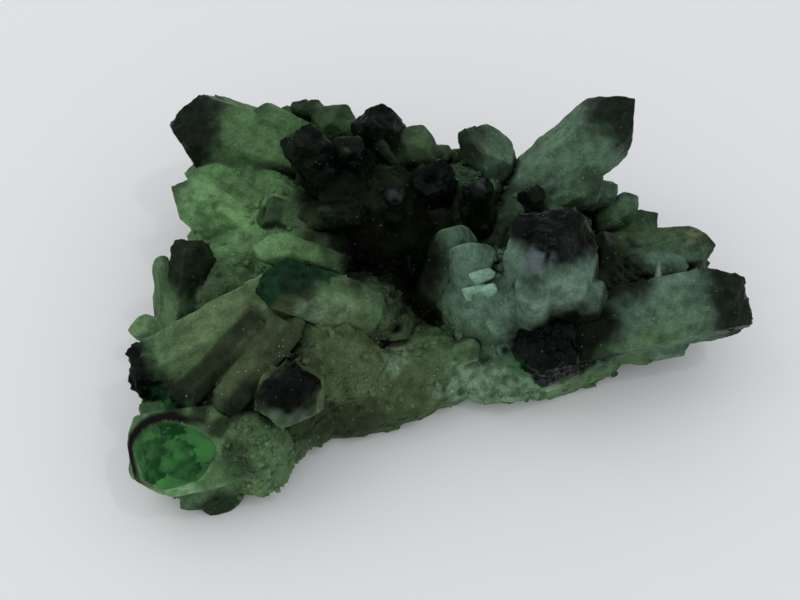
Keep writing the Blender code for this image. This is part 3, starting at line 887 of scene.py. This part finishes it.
def druseMesh(name, ground, seed):
    # a crust of tiny six-sided points: each is a base ring, a shoulder ring and a tip, stood on a face of the
    # ground and leaning a little off its normal. place = foot + ring * across + height * axis
    rng = np.random.default_rng(seed)
    centres, normals = gathered(ground.polygons, "center", 3) / mm, gathered(ground.polygons, "normal", 3)
    starts = gathered(ground.polygons, "loop_start", kind=np.int32)
    corner = gathered(ground.loops, "vertex_index", kind=np.int32)[starts]
    fields = {key: gathered(ground.attributes[key].data, "value")[corner] for key in shownValues}
    patches = smooth(-0.3, 0.5, layeredNoise(centres, druse["patchSize"], 131, 2))
    # most on the root and in the valleys, few on the dark ends and the front slope, none under the flanks
    weight = gathered(ground.polygons, "area") * (0.15 + 0.85 * patches)
    weight = weight * (0.8 * fields["root"] + 0.8 * smooth(0.40, 0.58, fields["near"]))
    weight = weight * (1 - 0.9 * fields["darkEnd"]) * (1 - 0.8 * fields["olive"])
    clear = (1 - fields["gem"]) * (1 - fields["rim"])
    weight *= clear * smooth(2.0, 5.0, centres[:, 2]) * (normals[:, 2] > -0.5)
    chosen = rng.choice(len(centres), druse["perPiece"], replace=False, p=weight / weight.sum())
    amount = len(chosen)
    low, high = druse["width"]
    width = low * (high / low) ** (rng.random(amount) ** 1.8)
    length = width * rng.uniform(*druse["length"], amount)
    axis = normals[chosen] + druse["tilt"] * rng.normal(size=(amount, 3)) + (0, 0, druse["upward"])
    axis /= np.linalg.norm(axis, axis=-1, keepdims=True)
    across = np.cross(axis, rng.normal(size=(amount, 3)))
    across /= np.linalg.norm(across, axis=-1, keepdims=True)
    beside = np.cross(axis, across)
    angles = np.pi * np.arange(6) / 3
    ring = (np.cos(angles)[:, None] * across[:, None] + np.sin(angles)[:, None] * beside[:, None])
    ring = ring * (0.5 * width)[:, None, None]
    foot = centres[chosen] - axis * (druse["buried"] * width)[:, None]
    rise = length + druse["buried"] * width
    shoulder = foot + axis * (rise * druse["shoulder"])[:, None]
    tip = foot + axis * rise[:, None] + ring[:, 0] * druse["tipAside"]
    shoulders = shoulder[:, None] + ring * druse["taper"]
    points = np.concatenate([foot[:, None] + ring, shoulders, tip[:, None]], 1)
    points = np.clip(points, np.array(cadLow) / mm + druse["inset"], np.array(cadHigh) / mm - druse["inset"])
    side = np.arange(6)
    after = (side + 1) % 6
    walls = np.concatenate([np.stack([side, after, after + 6], -1), np.stack([side, after + 6, side + 6], -1),
                            np.stack([side + 6, after + 6, np.full(6, 12)], -1),
                            [[0, i + 1, i] for i in range(1, 5)]])
    faces = (walls + druse["corners"] * np.arange(amount)[:, None, None]).reshape(-1, 3)
    mesh = bpy.data.meshes.new(name)
    mesh.from_pydata((points.reshape(-1, 3) * mm).tolist(), [], faces.tolist())
    jitter = {"tone": rng.uniform(*druse["tone"], amount), "near": rng.uniform(*druse["near"], amount)}
    addValues(mesh, {key: np.repeat(fields[key][chosen] * jitter.get(key, 1.0), druse["corners"])
                     for key in shownValues})
    thing = bpy.data.objects.new(name, mesh)
    bpy.context.scene.collection.objects.link(thing)
    print(name, "has", len(faces), "triangles")
    return thing


def blockMesh(name, low, high):
    # a plain box between two corners, in metres
    corners = np.array([[x, y, z] for x in (0, 1) for y in (0, 1) for z in (0, 1)], float)
    corners = np.array(low) + corners * (np.array(high) - np.array(low))
    faces = [(0, 1, 3, 2), (4, 6, 7, 5), (0, 4, 5, 1), (2, 3, 7, 6), (0, 2, 6, 4), (1, 5, 7, 3)]
    mesh = bpy.data.meshes.new(name)
    mesh.from_pydata(corners.tolist(), [], faces)
    return bpy.data.objects.new(name, mesh)


grownValues = ("darkEnd", "tone", "glow", "pit", "root")
shownValues = (*grownValues, "near", "wide", *marks, "gem", "rim")
tableBlock = blockMesh("tableBlock", (-0.3, -0.3, -0.3), (0.3, 0.3, 0.0))
bpy.context.scene.collection.objects.link(tableBlock)
growth = {"west_fan": westFan, "corner_growth": cornerGrowth, "north_row": northRow, "east_fan": eastFan,
          "centre_growth": centreGrowth}
allForms = [crystalForm(row) for piece in growth.values() for row in piece["crystals"].values()]
allLumps = [row for piece in growth.values() for row in piece["lumps"].values()]
nearField = filledField(allForms, allLumps, shelter["nearBlur"])
wideField = filledField(allForms, allLumps, shelter["wideBlur"])
print("shelter measured")
pieces = {name: growPiece(name, piece, number) for number, (name, piece) in enumerate(growth.items())}
bpy.data.objects.remove(tableBlock)
print("crystals grown")
for number, name in enumerate(growth):
    pieces[name + "_druse"] = druseMesh(name + "_druse", pieces[name].data, seeds["druse"] + number)
print("druse grown")


def addNode(tree, kind, settings=(), links=()):
    # one node: settings go to its properties or its inputs, links join other nodes' outputs to its inputs
    node = tree.nodes.new("ShaderNode" + kind)
    for key, value in dict(settings).items():
        if isinstance(key, str) and hasattr(node, key):
            setattr(node, key, value)
        else:
            node.inputs[key].default_value = value
    for key, value in dict(links).items():
        tree.links.new(value, node.inputs[key])
    return node


def emptyMaterial(name):
    material = bpy.data.materials.new(name)
    material.use_nodes = True
    material.node_tree.nodes.clear()
    return material, material.node_tree


milkyQuartz = {
    "pale": "#526c4b",  # sugary frost on the prism faces
    "fresh": "#648a5b",
    "cool": "#5f7a68",
    "olive": "#4f5f41",
    "frosty": "#7f9c80",
    # colour of the painted glints
    "sparkle": "#c6d6c2",
    "nearBlack": "#020302",  # the clear ends, dark because they look down into the crystal
    "darkGreen": "#0c150f",
    "valley": "#0a0c07",  # painted shade deep between the crystals
    # for the stains, which also carry painted shade in the hollow and the grooves
    "stained": "#131a10",
    "emerald": "#1a5a34",
    # grey of the painted reflections
    "greyReflection": "#5d6469",
    "cream": "#a8a67c",
    "gemPale": "#7cba78",
    "gemDeep": "#245c30",
    "rimBrown": "#0f0f0c",
    "planeSize": 6.0,  # millimetres
    "cloudSize": 16.0,
    "mottleSize": 3.5,
    "planeBend": 6.0,
    "grainSize": 0.7,  # quartz sugar is about 0.3 mm; drawn at 0.7 mm to show
    "grainHeight": 0.3,
    "grainLevels": (0.80, 1.20),
    "cloudLevels": (0.55, 1.15),
    "glintSize": 1.2,
    "glintLevel": 0.45,
    "pitLevel": 0.85,
    "roughBody": 0.66,
    "roughEnd": 0.13,
}


def quartzMaterial(look):
    # Milky quartz, frosted by a druse of sugar-sized crystals: soft and matt, a little light goes in and
    # comes out pale green. The clear ends are smooth and glossy, and nearly black.
    material, tree = emptyMaterial("milky_quartz")
    place = addNode(tree, "TexCoord").outputs["Object"]

    def pattern(kind, size, detail=None):
        # a noise or cell pattern of this size in millimetres
        settings = {"Scale": 1000.0 / size, **({"Detail": detail} if detail else {})}
        return addNode(tree, kind, settings, {"Vector": place})

    def value(name):
        return addNode(tree, "Attribute", {"attribute_name": name}).outputs["Fac"]

    def mixed(share, first, second):
        # a blend of two colours, each a socket or the name of a fixed colour
        ways = {6: first, 7: second}
        settings = {key: linearColour(look[c]) for key, c in ways.items() if isinstance(c, str)}
        links = {key: c for key, c in ways.items() if not isinstance(c, str)}
        return addNode(tree, "Mix", {"data_type": "RGBA", **settings}, {0: share, **links}).outputs[2]

    def ranged(socket, low, high, toLow=0.0, toHigh=1.0):
        span = {"From Min": low, "From Max": high, "To Min": toLow, "To Max": toHigh}
        return addNode(tree, "MapRange", span, {"Value": socket}).outputs[0]

    def joined(operation, a, b, **settings):
        return addNode(tree, "Math", {"operation": operation, **settings}, {0: a, 1: b}).outputs[0]

    def times(a, b):
        return joined("MULTIPLY", a, b)

    def firstOf(colour):
        return addNode(tree, "SeparateColor", {}, {"Color": colour}).outputs[0]

    dark = value("darkEnd")
    cloud = pattern("TexNoise", look["cloudSize"], 4.0).outputs["Fac"]
    mottleNode = pattern("TexNoise", look["mottleSize"], 3.0)
    mottle = mottleNode.outputs["Fac"]
    grain = pattern("TexNoise", look["grainSize"], 1.0).outputs["Fac"]
    share = ranged(joined("ADD", cloud, mottle), 0.78, 1.22)

    # the frosted body, with painted shade where neighbouring quartz crowds it
    body = mixed(value("fresh"), "pale", "fresh")
    body = mixed(value("cool"), body, "cool")
    body = mixed(value("olive"), body, "olive")
    body = mixed(times(value("frosty"), ranged(mottle, 0.3, 0.6)), body, "frosty")
    level = times(value("tone"), ranged(grain, 0.3, 0.7, *look["grainLevels"]))
    level = times(level, ranged(share, 0.0, 1.0, *look["cloudLevels"]))
    body = addNode(tree, "VectorMath", {"operation": "SCALE"}, {0: body, "Scale": level}).outputs[0]
    # painted shade: darker where the near and wide fields are full
    shelterShade = joined("ADD", ranged(value("near"), 0.40, 0.75, 0.0, 0.7),
                  ranged(value("wide"), 0.32, 0.58, 0.0, 0.8), use_clamp=True)
    body = mixed(shelterShade, body, "valley")
    # stains, and painted shade in the hollow and the grooves
    body = mixed(value("stainAndShade"), body, mixed(share, "valley", "stained"))

    # the dark ends, and the marks on top of both, among them painted glints, painted shade and painted
    # reflections
    end = mixed(share, "nearBlack", "darkGreen")
    end = mixed(times(value("glow"), share), end, "emerald")
    colour = mixed(dark, body, end)
    colour = mixed(times(value("cream"), ranged(mottle, 0.40, 0.55)), colour, "cream")
    # painted glints: bright specks mixed into the colour, fewer on the dark ends
    glint = pattern("TexVoronoi", look["glintSize"])
    glints = times(ranged(glint.outputs["Distance"], 0.26, 0.10),
                   ranged(firstOf(glint.outputs["Color"]), 0.90, 1.0, 0.0, look["glintLevel"]))
    colour = mixed(times(glints, ranged(dark, 0.0, 1.0, 1.0, 0.35)), colour, "sparkle")
    # painted shade: the inside of each hollow end darkened toward near-black
    colour = mixed(ranged(value("pit"), 0.0, 1.0, 0.0, look["pitLevel"]), colour, "nearBlack")
    colour = mixed(times(value("emerald"), share), colour, "emerald")
    # painted reflection: grey sheen on glassy facets
    colour = mixed(times(value("greyReflection"), ranged(mottle, 0.35, 0.6)), colour, "greyReflection")
    # painted glints at the listed spots
    colour = mixed(value("glintSpot"), colour, "sparkle")

    # broken planes inside the clear corner: angular patches of two greens, blurred by clouds
    bent = addNode(tree, "VectorMath", {"operation": "MULTIPLY_ADD", 1: (look["planeBend"] * mm,) * 3},
                   {0: mottleNode.outputs["Color"], 2: place}).outputs[0]
    planes = addNode(tree, "TexVoronoi", {"Scale": 1000.0 / look["planeSize"]}, {"Vector": bent})
    plane = firstOf(planes.outputs["Color"])
    paleness = joined("ADD", times(plane, plane), ranged(mottle, 0.4, 0.6, 0.0, 0.5), use_clamp=True)
    colour = mixed(value("gem"), colour, mixed(paleness, "gemDeep", "gemPale"))
    colour = mixed(value("rim"), colour, "rimBrown")

    gloss = ranged(dark, 0.0, 1.0, look["roughBody"], look["roughEnd"])
    bump = addNode(tree, "Bump", {"Strength": 0.6, "Distance": look["grainHeight"] * mm}, {"Height": grain})
    shader = addNode(tree, "BsdfPrincipled",
                     {"IOR": quartzIndex, "Specular IOR Level": 0.04, "Subsurface Weight": 0.45,
                      "Subsurface Scale": 2.5 * mm, "Subsurface Radius": (0.6, 1.0, 0.6)},
                     {"Base Color": colour, "Roughness": gloss, "Normal": bump.outputs[0]})
    addNode(tree, "OutputMaterial", {}, {"Surface": shader.outputs[0]})
    return material


clearQuartz = {
    "surface": "#e4f4e6",
    "reflection": "#4c5c50",  # dull, as the corner reflects little of the pale studio
    "depth": "#86cc8e",
    "density": 150.0,
    "rough": 0.06,
}


def clearMaterial(look):
    # Clear green quartz: polished faces, see-through, its colour gathers with depth
    material, tree = emptyMaterial("clear_quartz")
    shader = addNode(tree, "BsdfPrincipled",
                     {"Base Color": linearColour(look["surface"]), "Roughness": look["rough"],
                      "IOR": quartzIndex, "Specular Tint": linearColour(look["reflection"]),
                      "Transmission Weight": 1.0})
    depth = addNode(tree, "VolumeAbsorption",
                    {"Color": linearColour(look["depth"]), "Density": look["density"]})
    addNode(tree, "OutputMaterial", {}, {"Surface": shader.outputs[0], "Volume": depth.outputs[0]})
    return material


quartz = quartzMaterial(milkyQuartz)
clear = clearMaterial(clearQuartz)
gemForm = crystalForm(cornerGrowth["crystals"]["cornerGem"])
core = closedMesh("corner_window", *crystalSurface(3, gemForm, clearCore=True))
bpy.context.scene.collection.objects.link(core)
core.data.polygons.foreach_set("use_smooth", np.ones(len(core.data.polygons), bool))
core.data.set_sharp_from_angle(angle=np.radians(frost["sharpAngle"]))
core.data.materials.append(clear)
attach(core, "root")
for thing in pieces.values():
    thing.data.materials.clear()
    thing.data.materials.append(quartz)
    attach(thing, "root")
    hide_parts("quartz_cluster")
print("materials set")

studio = {
    "floor": "#e4e4e6", "floorSize": 3.0, "floorDrop": 0.0001,  # metres
    "world": "#eef0f2", "worldStrength": 0.97,
    "keyPower": 2.1, "keySize": 1.1, "keyPlace": (-0.95, 0.25, 1.05), "keyColour": (1.0, 0.99, 0.97),
    "glintPower": 1.0, "glintSize": 0.035, "glintPlace": (0.5, -0.2, 1.3), "glintColour": (1.0, 1.0, 1.0),
    "target": (-0.013, 0.0, 0.025), "distance": 0.420, "elevation": 55.0, "lens": 59.04,
}


def areaLight(name):
    # a round soft box that faces the cluster
    lamp = bpy.data.lights.new(name, "AREA")
    lamp.shape, lamp.size = "DISK", studio[name + "Size"]
    lamp.energy, lamp.color = studio[name + "Power"], studio[name + "Colour"]
    thing = bpy.data.objects.new(name, lamp)
    place = Vector(studio[name + "Place"])
    thing.location = place
    thing.rotation_euler = (Vector(studio["target"]) - place).to_track_quat("-Z", "Y").to_euler()
    bpy.context.scene.collection.objects.link(thing)


def paperMaterial():
    # Matt white laminate, as under a still life: even and pale, and it doesn't shine
    material = bpy.data.materials.new("matt_laminate")
    material.use_nodes = True
    shader = material.node_tree.nodes["Principled BSDF"]
    shader.inputs["Base Color"].default_value = linearColour(studio["floor"])
    shader.inputs["Roughness"].default_value = 0.6
    return material


floorMesh = bpy.data.meshes.new("floor")
floorCorners = [(x * studio["floorSize"], y * studio["floorSize"], -studio["floorDrop"])
                for x, y in ((-1, -1), (1, -1), (1, 1), (-1, 1))]
floorMesh.from_pydata(floorCorners, [], [(0, 1, 2, 3)])
floor = bpy.data.objects.new("floor", floorMesh)
floorMesh.materials.append(paperMaterial())
bpy.context.scene.collection.objects.link(floor)

world = bpy.data.worlds.new("studio")
world.use_nodes = True
world.node_tree.nodes["Background"].inputs["Color"].default_value = linearColour(studio["world"])
world.node_tree.nodes["Background"].inputs["Strength"].default_value = studio["worldStrength"]
bpy.context.scene.world = world
areaLight("key")
areaLight("glint")

camera = bpy.data.objects.new("camera", bpy.data.cameras.new("camera"))
camera.data.sensor_width = 36.0
camera.data.lens = studio["lens"]
camera.data.clip_start = 0.01
rise = np.radians(studio["elevation"])
camera.location = Vector(studio["target"]) + studio["distance"] * Vector((0, -np.cos(rise), np.sin(rise)))
camera.rotation_euler = (np.pi / 2 - rise, 0, 0)
bpy.context.scene.collection.objects.link(camera)
bpy.context.scene.camera = camera
bpy.context.scene.view_settings.view_transform = "Standard"
print("studio ready")
